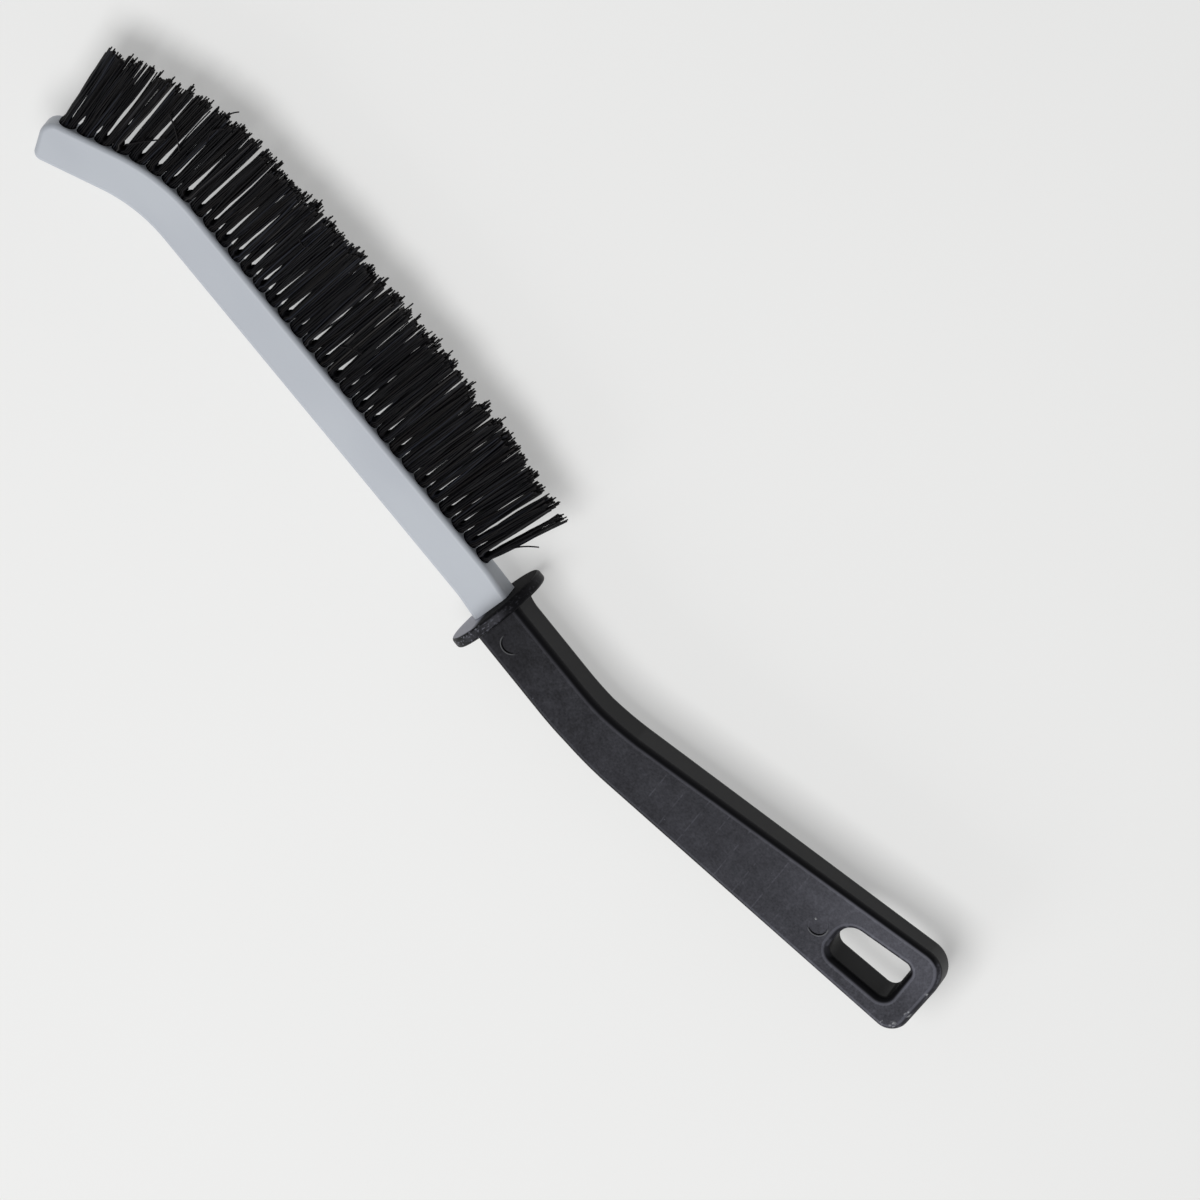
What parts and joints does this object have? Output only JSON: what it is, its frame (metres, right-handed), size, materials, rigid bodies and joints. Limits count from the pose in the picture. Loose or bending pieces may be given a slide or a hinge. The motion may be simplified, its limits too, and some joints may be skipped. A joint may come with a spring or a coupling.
{
  "type": "gap cleaning brush",
  "caption": "Long slim hand brush with a single row of stiff tufts along a flat bar with a bent tip, a handle guard and a hanging slot, for cleaning narrow gaps and grooves.",
  "frame": {"origin": "on the plane that the brush lies on when it is set on its wide side, under the middle of its bounding box", "axes": "+X from the bar's free end to the handle's end, +Y from the bar towards the bristle tips, +Z through the thickness"},
  "size_m": [0.2994, 0.0504, 0.0252],
  "materials": {
    "handle_plastic": "moulded black plastic, satin, with fine grain and a few scuffs",
    "bar_plastic": "smooth moulded pale blue-grey plastic",
    "bristle": "stiff black nylon filament with a soft gloss"
  },
  "bodies": {
    "root": {"handle": "handle_plastic", "head_bar": "bar_plastic", "tuft_01": "bristle", "tuft_02": "bristle", "tuft_03": "bristle", "tuft_04": "bristle", "tuft_05": "bristle", "tuft_06": "bristle", "tuft_07": "bristle", "tuft_08": "bristle", "tuft_09": "bristle", "tuft_10": "bristle", "tuft_11": "bristle", "tuft_12": "bristle", "tuft_13": "bristle", "tuft_14": "bristle", "tuft_15": "bristle", "tuft_16": "bristle", "tuft_17": "bristle", "tuft_18": "bristle", "tuft_19": "bristle", "tuft_20": "bristle", "tuft_21": "bristle", "tuft_22": "bristle", "tuft_23": "bristle", "tuft_24": "bristle", "tuft_25": "bristle", "tuft_26": "bristle", "tuft_27": "bristle", "tuft_28": "bristle", "tuft_29": "bristle", "tuft_30": "bristle", "tuft_31": "bristle", "tuft_32": "bristle"}
  },
  "joints": []
}
